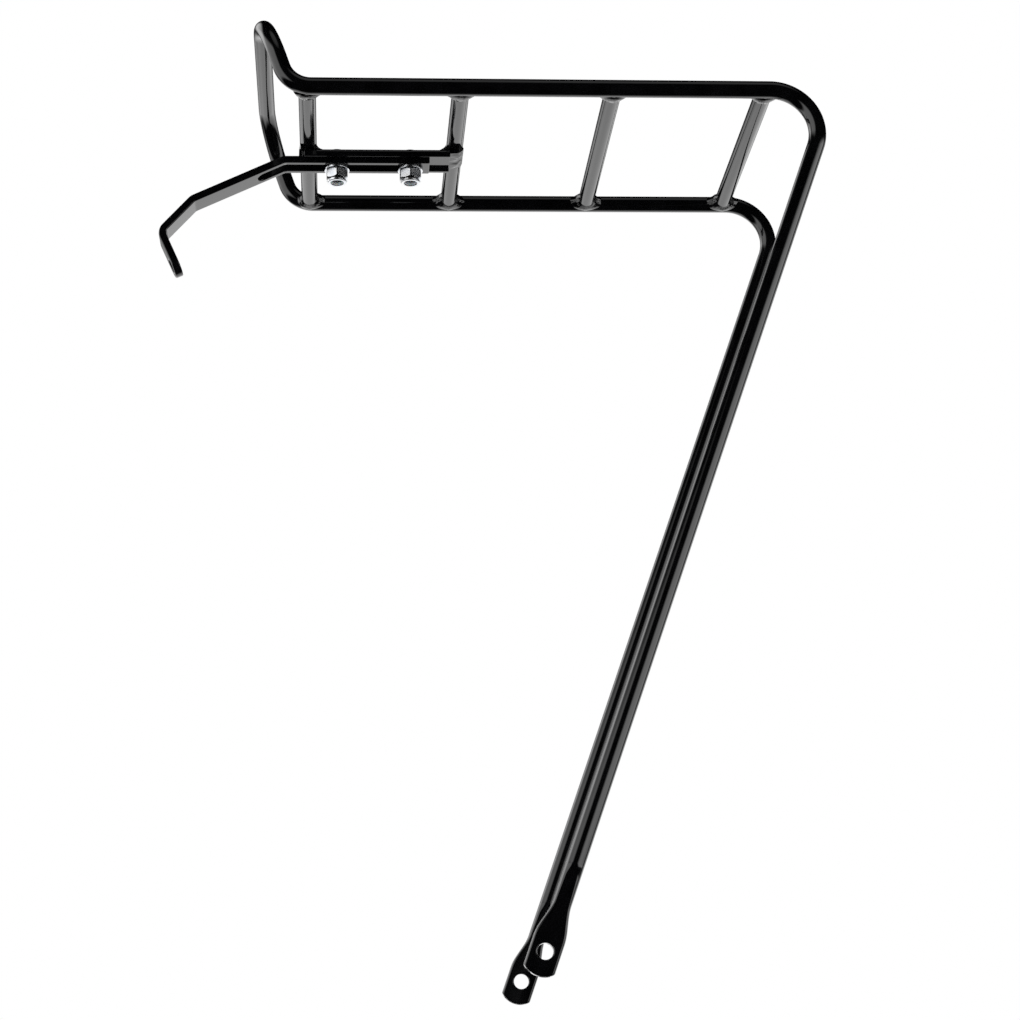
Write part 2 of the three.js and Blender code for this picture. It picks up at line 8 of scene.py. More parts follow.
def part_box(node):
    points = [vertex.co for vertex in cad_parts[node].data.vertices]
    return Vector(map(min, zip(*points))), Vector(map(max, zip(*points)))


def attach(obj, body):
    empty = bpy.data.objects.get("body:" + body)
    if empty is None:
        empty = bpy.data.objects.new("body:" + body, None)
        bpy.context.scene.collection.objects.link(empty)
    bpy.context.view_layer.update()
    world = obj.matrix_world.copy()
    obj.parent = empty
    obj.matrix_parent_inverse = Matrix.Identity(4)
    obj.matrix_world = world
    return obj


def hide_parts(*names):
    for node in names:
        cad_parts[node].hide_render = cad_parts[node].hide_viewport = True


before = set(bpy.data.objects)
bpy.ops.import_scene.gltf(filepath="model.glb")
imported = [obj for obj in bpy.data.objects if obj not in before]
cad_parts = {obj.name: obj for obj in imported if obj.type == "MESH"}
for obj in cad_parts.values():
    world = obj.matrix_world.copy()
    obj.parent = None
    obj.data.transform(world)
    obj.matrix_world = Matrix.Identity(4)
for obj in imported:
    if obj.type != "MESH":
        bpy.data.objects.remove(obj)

# The looks of a bicycle's front luggage rack: gloss black rod, welds and flat bar, and bright zinc hardware.
# Everything is in metres. Places come from the frame's boxes, and the sizes below are the real pieces' own.

MM = 0.001

FRONT_BEND = 21 * MM  # bend radii are to the middle of the rod
REAR_BEND = 14 * MM
HOOP_BEND = 26 * MM
LEG_LEAN = math.radians(20.6)
HOOP_LEAN = math.radians(18)

FOOT_WIDTH = 13.5 * MM
FOOT_THICKNESS = 3.6 * MM
FOOT_HOLE_RADIUS = 3.4 * MM
FOOT_HOLE_FROM_END = 10.3 * MM
FOOT_END_RADIUS = 10 * MM
FOOT_FLAT_ABOVE_HOLE = 5 * MM
FOOT_PRESSING_LENGTH = 16 * MM  # over which the foot widens
FOOT_DENT_ABOVE_HOLE = 38 * MM  # where the flats first bite into the round rod
FOOT_DENT_LENGTH = 6 * MM
FOOT_DENT_HALF = 3 * MM  # half the thickness where the dent ends and the long taper starts
FOOT_SHIFT = 0.4 * MM  # rearwards, of the flat foot
FOOT_EDGE = 0.5 * MM

SHEET = 2.4 * MM  # of the channel
CHANNEL_CORNER = 2 * MM
BOLT_HOLE_RADIUS = 3.3 * MM

STAY_BEND = 5 * MM
STAY_THICKNESS = 3.6 * MM
STAY_EDGE = 0.55 * MM
STAY_SLOT_WIDTH = 6.4 * MM
STAY_SLOT_REAR_FROM_BEND = 14.6 * MM  # the slot runs on round the first bend
STAY_SLOT_FRONT_FROM_END = 3.8 * MM
STAY_HOLE_RADIUS = 3.5 * MM
STAY_HOLE_FROM_END = 6 * MM
STAY_RUNS = [69.25 * MM, 47.59 * MM, 22.1 * MM, 22.4 * MM]
STAY_FALLS = [math.radians(fall) for fall in (0, 25.6, 48.3, 113.3)]

WELD_REACH = 8.2 * MM  # along the rail, from the crossbar's axis
WELD_REACH_AT_BEND = 6.2 * MM  # towards the rear bend, from the rear crossbar
WELD_RISE = 8.6 * MM  # along the crossbar, from the rail's axis
WELD_THROAT = 1.3 * MM
WELD_ROOT = 0.15 * MM  # how deep a weld's toe sinks into the metal
WELD_RIPPLE = 0.10 * MM
WELD_RIPPLES = 26  # round a rail weld
WELD_LUMPS = [(2.6 * MM, 0.30 * MM), (1.0 * MM, 0.12 * MM)]  # each a size and a height

CHANNEL_BEAD_RIPPLE = 0.12 * MM
CHANNEL_BEAD_PITCH = 0.75 * MM  # of the ripples, per radian
CHANNEL_BEAD_LUMPS = [(2.4 * MM, 0.30 * MM)]
END_BEAD_LUMPS = [(3.6 * MM, 0.9 * MM), (1.5 * MM, 0.35 * MM)]

THREAD_PITCH = 1.0 * MM
THREAD_DEPTH = 0.55 * MM
BOLT_RADIUS = 2.9 * MM
BOLT_CHAMFER = 0.6 * MM
BOLT_HEAD_HEIGHT = 2.1 * MM
BOLT_HEAD_RIM = 0.7 * MM  # height of the head's upright edge
BOLT_HEAD_FLAT_RADIUS = 2.6 * MM  # of the flat top round the socket
BOLT_SOCKET_RADIUS = 2 * MM  # to the middle of its flats
BOLT_SOCKET_DEPTH = 1.4 * MM
AXIS_RADIUS = 0.05 * MM  # turned solids stop this close to their axis

WASHER_HOLE_RADIUS = 3.2 * MM
WASHER_EDGE = 0.28 * MM

NUT_ACROSS_FLATS = 10 * MM
NUT_HEX_HEIGHT = 4.6 * MM
NUT_CORNER_CHAMFER = 0.75 * MM
NUT_COLLAR_RADIUS = 4.5 * MM
NUT_COLLAR_ROLL = 0.45 * MM
NUT_POCKET = 2.1 * MM  # depth of the collar's inside, which holds the nylon ring
NUT_HOLE_RADIUS = 3.05 * MM
NUT_LIP_RADIUS = 3.15 * MM  # of the opening in the collar that is rolled over the nylon ring
NUT_LIP = 0.4 * MM
INSERT_RADIUS = 3.9 * MM
INSERT_HOLE_RADIUS = 3.0 * MM
INSERT_EDGE = 0.2 * MM
INSERT_LIFT = 0.2 * MM  # of the nylon ring's underside, which clears the collar's lip

SHARP = math.radians(32)  # edges that turn more than this stay sharp
WELD_SHARP = math.radians(60)

LEG_DOWN = Vector((-math.sin(LEG_LEAN), 0, -math.cos(LEG_LEAN)))
LEG_ACROSS = Vector((math.cos(LEG_LEAN), 0, -math.sin(LEG_LEAN)))
ACROSS_RACK = Vector((0, 1, 0))


# ---- What the frame says ----

def middle(node):
    low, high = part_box(node)
    return (low + high) / 2


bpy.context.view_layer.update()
bar_low, bar_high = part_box("crossbar_1")
rod_low, rod_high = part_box("frame_rod")
ROD_RADIUS = (bar_high.z - bar_low.z) / 2
RAIL_Z = middle("crossbar_1").z
RAIL_Y = rod_high.y - ROD_RADIUS
HOOP_X = rod_low.x + ROD_RADIUS
HOOP_Z = rod_high.z - ROD_RADIUS
FRONT_SETBACK = FRONT_BEND / math.tan((math.pi / 2 - LEG_LEAN) / 2)
FRONT_CORNER_X = rod_high.x - ROD_RADIUS - FRONT_BEND + FRONT_SETBACK
REAR_CORNER_X = HOOP_X + (HOOP_Z - RAIL_Z) * math.tan(HOOP_LEAN)


def leg_point(side, distance):
    """A point on a leg's centre line, that far down from where it would meet the rail's."""
    return Vector((FRONT_CORNER_X, side * RAIL_Y, RAIL_Z)) + LEG_DOWN * distance


FOOT_END_DROP = RAIL_Z - rod_low.z - FOOT_END_RADIUS + FOOT_SHIFT * math.sin(LEG_LEAN)
FOOT_END_TOP = FOOT_END_DROP / math.cos(LEG_LEAN)  # down the leg to the centre of the foot's rounded end
LEG_END = FOOT_END_TOP + FOOT_END_RADIUS
FOOT_HOLE = LEG_END - FOOT_HOLE_FROM_END
FOOT_FLAT = FOOT_HOLE - FOOT_FLAT_ABOVE_HOLE
FOOT_WIDENS = FOOT_FLAT - FOOT_PRESSING_LENGTH
FOOT_ROUND = FOOT_HOLE - FOOT_DENT_ABOVE_HOLE
FOOT_DENTED = FOOT_ROUND + FOOT_DENT_LENGTH


# ---- Camera ----

CAMERA_PLACE = Vector((-0.0743, -1.0074, -0.0906))
CAMERA_AZIMUTH = math.radians(4.68)
CAMERA_ELEVATION = math.radians(16.96)
CAMERA_ROLL = math.radians(-1.71)
CAMERA_LENS = 81.2


def make_camera():
    data = bpy.data.cameras.new("camera")
    data.lens = CAMERA_LENS
    camera = bpy.data.objects.new("camera", data)
    bpy.context.scene.collection.objects.link(camera)
    turn = Matrix.Rotation(-CAMERA_AZIMUTH, 4, "Z")
    tilt = Matrix.Rotation(math.pi / 2 + CAMERA_ELEVATION, 4, "X")
    roll = Matrix.Rotation(CAMERA_ROLL, 4, "Z")
    camera.matrix_world = Matrix.Translation(CAMERA_PLACE) @ turn @ tilt @ roll
    bpy.context.scene.camera = camera


make_camera()


# ---- Mesh helpers ----

def circle(count):
    return [2 * math.pi * i / count for i in range(count)]


def smoothstep(low, high, value):
    t = min(max((value - low) / (high - low), 0), 1)
    return t * t * (3 - 2 * t)


def lerp(a, b, t):
    return a + (b - a) * t


def bezier(a, b, c, t):
    return a * (1 - t) ** 2 + b * 2 * t * (1 - t) + c * t**2


def finish_mesh(name, mesh, sharp=SHARP):
    mesh.shade_smooth()
    mesh.set_sharp_from_angle(angle=sharp)
    piece = bpy.data.objects.new(name, mesh)
    bpy.context.scene.collection.objects.link(piece)
    return piece


def solid_of_rings(name, rings, closed=False, sharp=SHARP):
    """A closed solid skinned over rings of points. Closed rings join up, and open ones are capped."""
    count = len(rings[0])
    points = [point for ring in rings for point in ring]
    faces = []
    last = len(rings) if closed else len(rings) - 1
    for i in range(last):
        here = i * count
        there = (i + 1) % len(rings) * count
        for j in range(count):
            k = (j + 1) % count
            faces.append((here + j, here + k, there + k, there + j))
    if not closed:
        faces.append(tuple(range(count))[::-1])
        faces.append(tuple(range((len(rings) - 1) * count, len(rings) * count)))
    mesh = bpy.data.meshes.new(name)
    mesh.from_pydata([tuple(point) for point in points], [], faces)
    built = bmesh.new()
    built.from_mesh(mesh)
    bmesh.ops.remove_doubles(built, verts=built.verts, dist=1e-7)
    bmesh.ops.recalc_face_normals(built, faces=built.faces)
    built.to_mesh(mesh)
    built.free()
    return finish_mesh(name, mesh, sharp)


def cut(piece, *cutters):
    """Takes the cutters out of the piece, and removes them."""
    for cutter in cutters:
        modifier = piece.modifiers.new("cut", "BOOLEAN")
        modifier.operation = "DIFFERENCE"
        modifier.solver = "EXACT"
        modifier.object = cutter
    bpy.context.view_layer.update()
    evaluated = piece.evaluated_get(bpy.context.evaluated_depsgraph_get())
    mesh = bpy.data.meshes.new_from_object(evaluated)
    piece.modifiers.clear()
    piece.data = mesh
    for cutter in cutters:
        bpy.data.objects.remove(cutter)
    mesh.shade_smooth()
    mesh.set_sharp_from_angle(angle=SHARP)
    return piece


def lips(half_thickness, lip):
    """Levels through a plate and how much wider than itself a hole with rounded lips is at each."""
    levels = [(half_thickness - lip) * t for t in (-1, 0, 1)]
    spread = [0, 0, 0]
    for step in range(1, 5):
        angle = math.pi / 2 * step / 4 * 0.9
        depth = half_thickness - lip + lip * math.sin(angle)
        grow = lip - lip * math.cos(angle)
        levels = [-depth, *levels, depth]
        spread = [grow, *spread, grow]
    outside = half_thickness + lip
    return [-outside, *levels, outside], [3 * lip, *spread, 3 * lip]


def hole_cutter(place, across, through, radius, half_thickness, lip, length=0.0):
    """A cutter for a round hole, or a slot of that length between its ends' centres along across."""
    other = through.cross(across)
    rings = []
    for level, grow in zip(*lips(half_thickness, lip)):
        ring = []
        for angle in circle(64):
            shift = math.copysign(length / 2, math.cos(angle)) if length else 0
            along = shift + (radius + grow) * math.cos(angle)
            ring.append(place + through * level + across * along + other * (radius + grow) * math.sin(angle))
        rings.append(ring)
    return solid_of_rings("cutter", rings)


def end_cutter(end, radius, half_thickness, lip):
    """Takes away what lies outside the round end of a flat bar along X, whose half width is the radius."""
    rings = []
    for level, grow in zip(*lips(half_thickness, lip)):
        ring = []
        for k in range(49):
            angle = math.pi / 2 - math.pi * k / 48
            reach = max(radius - grow, 0.5 * radius)
            ring.append(Vector((end - radius + reach * math.cos(angle), reach * math.sin(angle), level)))
        for x, y in [(end - radius, -2 * radius), (end + radius, -2 * radius), (end + radius, 2 * radius)]:
            ring.append(Vector((x, y, level)))
        ring.append(Vector((end - radius, 2 * radius, level)))
        rings.append(ring)
    return solid_of_rings("cutter", rings)


def rounded_outline(width, height, radius, steps=5):
    """A rectangle with rounded corners about the middle, as (u, v) points with their outward directions."""
    points = []
    for quarter, (su, sv) in enumerate([(1, 1), (-1, 1), (-1, -1), (1, -1)]):
        for step in range(steps + 1):
            angle = math.pi / 2 * (quarter + step / steps)
            u = su * (width / 2 - radius) + radius * math.cos(angle)
            v = sv * (height / 2 - radius) + radius * math.sin(angle)
            points.append((u, v, math.cos(angle), math.sin(angle)))
    return points


def rounded_prism(name, outline, place, start, end, edge):
    """An outline drawn out from start to end, with its end edges rounded.

    Place turns (u, v, along) into a point."""
    stations = []
    for step in range(5):
        angle = math.pi / 2 * step / 4
        stations.append((start + edge * (1 - math.cos(angle)), edge * (1 - math.sin(angle))))
    far = [(start + end - along, shrink) for along, shrink in reversed(stations)]
    rings = []
    for along, shrink in stations + far:
        rings.append([place(u - shrink * nu, v - shrink * nv, along) for u, v, nu, nv in outline])
    return solid_of_rings(name, rings)


# ---- Paths ----

def bent_path(corners, radii, run_step, bend_step):
    """Points with their directions along straight runs whose corners are rounded by arcs."""
    stations = []
    start = corners[0]
    for i in range(1, len(corners)):
        ahead = (corners[i] - corners[i - 1]).normalized()
        setback = 0
        turn = 0
        if i < len(corners) - 1:
            onward = (corners[i + 1] - corners[i]).normalized()
            turn = ahead.angle(onward)
            setback = radii[i - 1] * math.tan(turn / 2)
        end = corners[i] - ahead * setback
        steps = max(1, round((end - start).length / run_step))
        stations += [(start.lerp(end, k / steps), ahead) for k in range(steps)]
        start = end
        if turn:
            inwards = (onward - ahead * math.cos(turn)).normalized()
            centre = end + inwards * radii[i - 1]
            steps = math.ceil(turn / bend_step)
            for k in range(steps):
                angle = turn * k / steps
                point = centre + radii[i - 1] * (ahead * math.sin(angle) - inwards * math.cos(angle))
                stations.append((point, ahead * math.cos(angle) + inwards * math.sin(angle)))
            start = corners[i] + onward * setback
    stations.append((corners[-1], (corners[-1] - corners[-2]).normalized()))
    return stations


# ---- The rod ----

def pressed(angle, half_width, half_thickness):
    """A point of the round section pressed between two dies: wider across, and flat where they touch it."""
    sharpness = 16

    def limited(value):
        return value / (1 + abs(value) ** sharpness) ** (1 / sharpness)

    out = half_thickness * limited(ROD_RADIUS * math.sin(angle) / half_thickness)
    return half_width * math.cos(angle), out / limited(ROD_RADIUS / half_thickness)


def foot_half_thickness(down):
    """Half the thickness that far down the leg: a short dent, and then a long taper."""
    dented = lerp(ROD_RADIUS, FOOT_DENT_HALF, smoothstep(FOOT_ROUND, FOOT_DENTED, down))
    taper = min(max((down - FOOT_DENTED) / (FOOT_FLAT - FOOT_DENTED), 0), 1)
    return dented - (FOOT_DENT_HALF - FOOT_THICKNESS / 2) * taper


def foot_end(across):
    """How far down the leg the foot's rounded end is, that far across from its middle."""
    return FOOT_END_TOP + math.sqrt(FOOT_END_RADIUS**2 - across**2)


def foot_rings(side, count):
    """Rings from the round rod down to the foot's end, where the last ones round off the edge.

    A section is how far down it is, or how far from there to the rounded end, and how far round the edge."""
    rings = []
    sections = []
    steps = 44
    for k in range(steps):
        sections.append((lerp(FOOT_ROUND, FOOT_FLAT, k / steps), None, 0))
    for k in range(8):
        sections.append((lerp(FOOT_FLAT, FOOT_END_TOP, k / 8), None, 0))
    for k in range(8):
        sections.append((0, k / 8, 0))
    for k in range(7):
        sections.append((0, 1, k / 6))
    for down, towards_end, rounding in sections:
        amount = smoothstep(FOOT_WIDENS, FOOT_FLAT, down) if towards_end is None else 1
        half_width = lerp(ROD_RADIUS, FOOT_WIDTH / 2, amount)
        half_thickness = foot_half_thickness(down) if towards_end is None else FOOT_THICKNESS / 2
        inset = FOOT_EDGE * (1 - math.cos(rounding * math.pi / 2))
        short = FOOT_EDGE * (1 - math.sin(rounding * math.pi / 2))
        ring = []
        for angle in circle(count):
            across, out = pressed(angle, half_width, half_thickness)
            across *= 1 - inset / half_width
            out *= 1 - inset / half_thickness
            if towards_end is None:
                distance = down
            else:
                distance = lerp(FOOT_END_TOP, foot_end(across) - short, towards_end)
            across -= FOOT_SHIFT * amount
            ring.append(leg_point(side, distance) + LEG_ACROSS * across + ACROSS_RACK * out)
        rings.append(ring)
    return rings


def rod_rings(count):
    corners = [
        leg_point(-1, FOOT_ROUND),
        leg_point(-1, 0),
        Vector((REAR_CORNER_X, -RAIL_Y, RAIL_Z)),
        Vector((HOOP_X, -RAIL_Y, HOOP_Z)),
        Vector((HOOP_X, RAIL_Y, HOOP_Z)),
        Vector((REAR_CORNER_X, RAIL_Y, RAIL_Z)),
        leg_point(1, 0),
        leg_point(1, FOOT_ROUND),
    ]
    radii = [FRONT_BEND, REAR_BEND, HOOP_BEND, HOOP_BEND, REAR_BEND, FRONT_BEND]
    rings = []
    out = ACROSS_RACK
    for point, ahead in bent_path(corners, radii, 9 * MM, math.radians(3)):
        out = (out - ahead * out.dot(ahead)).normalized()
        across = out.cross(ahead)
        ring = []
        for angle in circle(count):
            ring.append(point + ROD_RADIUS * (across * math.cos(angle) + out * math.sin(angle)))
        rings.append(ring)
    return rings


def in_step(rings, guide):
    """The rings with their points renumbered alike, so that those of the first ring run as the guide's do."""
    count = len(guide)
    first = min(range(count), key=lambda i: (rings[0][i] - guide[0]).length)
    backwards = (rings[0][(first + 1) % count] - guide[1]).length > ROD_RADIUS / 10
    order = [(first - i if backwards else first + i) % count for i in range(count)]
    return [[ring[i] for i in order] for ring in rings]


def make_rod():
    count = 72
    right = foot_rings(-1, count)
    body = in_step(rod_rings(count), right[0])
    left = in_step(foot_rings(1, count), body[-1])
    rod = solid_of_rings("rod", right[:0:-1] + body + left[1:])
    cutters = []
    for side in (-1, 1):
        place = leg_point(side, FOOT_HOLE) - LEG_ACROSS * FOOT_SHIFT
        cutters.append(
            hole_cutter(place, LEG_ACROSS, ACROSS_RACK, FOOT_HOLE_RADIUS, FOOT_THICKNESS / 2, FOOT_EDGE)
        )
    return cut(rod, *cutters)


# ---- Crossbars ----

def make_crossbar(number):
    """A bar whose ends are hollowed out to sit on the rails."""
    x = middle(f"crossbar_{number}").x
    count = 48
    run = RAIL_Y - WELD_RISE
    rings = []

    def end_ring(side, radius):
        ring = []
        for angle in circle(count):
            z = radius * math.sin(angle)
            seat = math.sqrt(ROD_RADIUS**2 - z**2) - WELD_ROOT
            ring.append(Vector((x + radius * math.cos(angle), side * (RAIL_Y - seat), RAIL_Z + z)))
        return ring

    for shrink in (0.25, 0.6, 1):
        rings.append(end_ring(-1, ROD_RADIUS * shrink))
    for step in range(9):
        y = lerp(-run, run, step / 8)
        rings.append([
            Vector((x + ROD_RADIUS * math.cos(angle), y, RAIL_Z + ROD_RADIUS * math.sin(angle)))
            for angle in circle(count)
        ])
    for shrink in (1, 0.6, 0.25):
        rings.append(end_ring(1, ROD_RADIUS * shrink))
    return solid_of_rings(f"bar_{number}", rings, sharp=math.radians(50))


# ---- Welds ----

def lumps(point, layers):
    """How far the weld metal stands out of true at a point, from layers of lumps of a size and a height."""
    return sum(height * noise.noise(point / size) for size, height in layers)


def bead_taper(y, half):
    """How full a straight bead is at y. It is full in the middle and rounds off at its ends."""
    return math.sqrt(max(1 - (y / half) ** 6, 0.02))


def make_rail_weld(number, side):
    """A fillet round one end of a crossbar, with the ripples that a weld pool leaves."""
    x = middle(f"crossbar_{number}").x
    across_steps = 14
    deep = ROD_RADIUS - WELD_ROOT
    buried = ROD_RADIUS - 1.2 * MM
    seed = Vector((number * 3.1, side * 1.7, 0))
    rings = []
    for angle in circle(120):
        c = math.cos(angle)
        s = math.sin(angle)
        wander = 1 + 0.10 * noise.noise(Vector((2 * c, 2 * s, 0)) + seed)
        round_rail = math.radians(78) * s
        reach = WELD_REACH_AT_BEND if number == 1 and c < 0 else WELD_REACH
        rail_toe = Vector((reach * wander * c, deep * math.cos(round_rail), deep * math.sin(round_rail)))
        rise = lerp(WELD_RISE, 0.80 * WELD_RISE, abs(s)) * wander
        bar_toe = Vector((deep * c, rise, deep * s))
        throat = lerp(WELD_THROAT, 0.9 * WELD_THROAT, abs(s))
        waist = ROD_RADIUS + throat
        corner = Vector((waist * c, ROD_RADIUS * abs(c) ** 0.7 + throat, waist * s))
        outward = Vector((c, 1, s)).normalized()
        ring = []
        for step in range(across_steps + 1):
            t = step / across_steps
            point = bezier(rail_toe, corner, bar_toe, t)
            bulge = math.sin(math.pi * t)
            phase = WELD_RIPPLES * angle + 2.2 * bulge
            ridge = WELD_RIPPLE * (1 - abs(math.sin(phase / 2))) + lumps(point + seed, WELD_LUMPS)
            ring.append(point + outward * ridge * bulge)
        ring.append(Vector((buried * c, 0.9 * ROD_RADIUS, buried * s)))
        rings.append([Vector((x + p.x, side * (RAIL_Y - p.y), RAIL_Z + p.z)) for p in ring])
    name = "right" if side < 0 else "left"
    return solid_of_rings(f"bead_{number}_{name}", rings, closed=True, sharp=WELD_SHARP)


def make_channel_bead(node, number, direction, reach):
    """A bead in the corner between the channel and one side of a crossbar."""
    low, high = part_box(node)
    bar = middle(f"crossbar_{number}")
    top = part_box("stay_channel")[1].z
    rise = high.z - top
    half = (high.y - low.y) / 2
    deep = ROD_RADIUS - WELD_ROOT
    lean = 0  # of the bead's upper toe, below level from the bar's axis
    if rise < ROD_RADIUS:
        climb = (rise - (bar.z - ROD_RADIUS - top)) / ROD_RADIUS
        lean = math.asin(min(climb, 0.9) - 1)
    bar_toe = Vector((direction * deep * math.cos(lean), 0, bar.z + deep * math.sin(lean)))
    waist = direction * min(ROD_RADIUS + 0.5 * MM, reach)
    outward = Vector((direction, 0, 1)).normalized()
    seed = Vector((number * 5.3, direction * 2.9, 0))
    steps = 60
    rings = []
    for k in range(steps + 1):
        y = lerp(-half, half, k / steps)
        taper = bead_taper(y, half)
        wander = 1 + 0.10 * noise.noise(Vector((0, y / (4 * MM), 0)) + seed)
        toe = Vector((direction * reach * lerp(0.8, 1, taper) * wander, 0, top - WELD_ROOT))
        corner = Vector((waist * taper, 0, top + 0.55 * rise * taper))
        ring = []
        for step in range(11):
            t = step / 10
            point = bezier(toe, corner, bar_toe, t)
            bulge = math.sin(math.pi * t)
            phase = y / CHANNEL_BEAD_PITCH + 1.6 * bulge
            where = Vector((point.x, y, point.z)) + seed
            ridge = CHANNEL_BEAD_RIPPLE * (1 - abs(math.sin(phase))) + lumps(where, CHANNEL_BEAD_LUMPS)
            point = point + outward * ridge * bulge * taper
            ring.append(Vector((bar.x + point.x, y, point.z)))
        ring.append(Vector((bar.x + direction * 0.55 * ROD_RADIUS, y, bar.z - 0.45 * ROD_RADIUS)))
        ring.append(Vector((bar.x + direction * 0.75 * ROD_RADIUS, y, top - WELD_ROOT)))
        rings.append(ring)
    return solid_of_rings(node.replace("weld", "bead"), rings, sharp=WELD_SHARP)


def make_end_bead():
    """The bead under the second crossbar, across the channel's front end."""
    low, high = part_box("channel_weld_2_front")
    bar = middle("crossbar_2")
    half = (high.y - low.y) / 2
    rear = Vector((low.x - 0.4 * MM, 0, low.z + 0.1 * MM))
    front = Vector((high.x, 0, high.z - 0.4 * MM))
    outward = Vector((0.5, 0, -0.85))
    steps = 60
    rings = []
    for k in range(steps + 1):
        y = lerp(-half, half, k / steps)
        taper = bead_taper(y, half)
        corner = Vector((lerp(bar.x, high.x, 0.8), 0, low.z - 0.3 * MM * taper))
        ring = []
        for step in range(11):
            t = step / 10
            point = bezier(rear, corner, front, t)
            bulge = math.sin(math.pi * t) * taper
            where = Vector((point.x, y, point.z))
            point = where + outward * lumps(where, END_BEAD_LUMPS) * bulge
            point.z = max(point.z, low.z)  # the stay slides past under it
            ring.append(point)
        ring.append(Vector((bar.x + 0.6 * ROD_RADIUS, y, bar.z - 0.5 * ROD_RADIUS)))
        ring.append(Vector((low.x, y, low.z + 1.2 * MM)))
        rings.append(ring)
    return solid_of_rings("channel_bead_2_front", rings, sharp=WELD_SHARP)


# ---- Channel ----

def channel_outline(half, depth):
    """The channel's section as (u, v) points with outward directions, with v = 0 at its top."""
    points = []
    inner = half - SHEET
    inside_corner = 0.4 * MM

    def arc(cu, cv, radius, first, last, flip=1, steps=8):
        for k in range(steps + 1):
            angle = math.radians(lerp(first, last, k / steps))
            points.append((cu + radius * math.cos(angle), cv + radius * math.sin(angle),
                           flip * math.cos(angle), flip * math.sin(angle)))

    lip = 0.6 * MM
    arc(half - CHANNEL_CORNER, -CHANNEL_CORNER, CHANNEL_CORNER, 0, 90)
    arc(CHANNEL_CORNER - half, -CHANNEL_CORNER, CHANNEL_CORNER, 90, 180)
    arc(lip - half, lip - depth, lip, 180, 270, steps=4)
    arc(-inner - lip, lip - depth, lip, 270, 360, steps=4)
    arc(inside_corner - inner, -SHEET - inside_corner, inside_corner, 180, 90, flip=-1)
    arc(inner - inside_corner, -SHEET - inside_corner, inside_corner, 90, 0, flip=-1)
    arc(inner + lip, lip - depth, lip, 180, 270, steps=4)
    arc(half - lip, lip - depth, lip, 270, 360, steps=4)
    return points


def make_channel():
    low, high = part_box("stay_channel")
    outline = channel_outline(high.y, high.z - low.z)

    def place(u, v, along):
        return Vector((along, u, high.z + v))

    channel = rounded_prism("channel", outline, place, low.x, high.x, 0.2 * MM)
    cutters = []
    for number in (1, 2):
        x = middle(f"bolt_{number}").x
        web = Vector((x, 0, high.z - SHEET / 2))
        cutters.append(
            hole_cutter(web, Vector((1, 0, 0)), Vector((0, 0, 1)), BOLT_HOLE_RADIUS, SHEET / 2, 0.2 * MM)
        )
    return cut(channel, *cutters)


# ---- Stay ----

def make_stay():
    """A flat bar with a slot and a hole, made straight and then bent."""
    low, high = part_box("stay")
    width = high.y - low.y
    length = sum(STAY_RUNS)
    outline = rounded_outline(width, STAY_THICKNESS, STAY_EDGE)

    def place(u, v, along):
        return Vector((along, u, v))

    bar = rounded_prism("flat_bar", outline, place, 0, length, STAY_EDGE)
    slot_start = STAY_SLOT_FRONT_FROM_END
    slot_end = STAY_RUNS[0] + STAY_SLOT_REAR_FROM_BEND
    radius = STAY_SLOT_WIDTH / 2
    along = Vector((1, 0, 0))
    through = Vector((0, 0, 1))
    middle_of_slot = Vector(((slot_start + slot_end) / 2, 0, 0))
    centres = slot_end - slot_start - 2 * radius
    slot = hole_cutter(middle_of_slot, along, through, radius, STAY_THICKNESS / 2, STAY_EDGE, centres)
    hole_place = Vector((length - STAY_HOLE_FROM_END, 0, 0))
    hole = hole_cutter(hole_place, along, through, STAY_HOLE_RADIUS, STAY_THICKNESS / 2, STAY_EDGE)
    cut(bar, slot, hole, end_cutter(length, width / 2, STAY_THICKNESS / 2, STAY_EDGE))

    corners = [Vector((high.x, 0, high.z - STAY_THICKNESS / 2))]
    for run, fall in zip(STAY_RUNS, STAY_FALLS):
        corners.append(corners[-1] + run * Vector((-math.cos(fall), 0, -math.sin(fall))))
    bends = []
    straight = 0
    for i in range(1, len(STAY_RUNS)):
        turn = STAY_FALLS[i] - STAY_FALLS[i - 1]
        straight += STAY_RUNS[i - 1]
        bends.append((straight, turn, STAY_BEND * math.tan(turn / 2)))

    built = bmesh.new()
    built.from_mesh(bar.data)
    for where, turn, setback in bends:
        steps = math.ceil(turn / math.radians(4))
        for k in range(steps + 1):
            x = where + lerp(-setback, setback, k / steps)
            geometry = built.verts[:] + built.edges[:] + built.faces[:]
            bmesh.ops.bisect_plane(built, geom=geometry, dist=1e-7, plane_co=(x, 0, 0), plane_no=(1, 0, 0))
    for vert in built.verts:
        vert.co = bent_point(vert.co, corners, bends)
    bmesh.ops.recalc_face_normals(built, faces=built.faces)
    built.to_mesh(bar.data)
    built.free()
    bar.data.set_sharp_from_angle(angle=SHARP)
    return bar


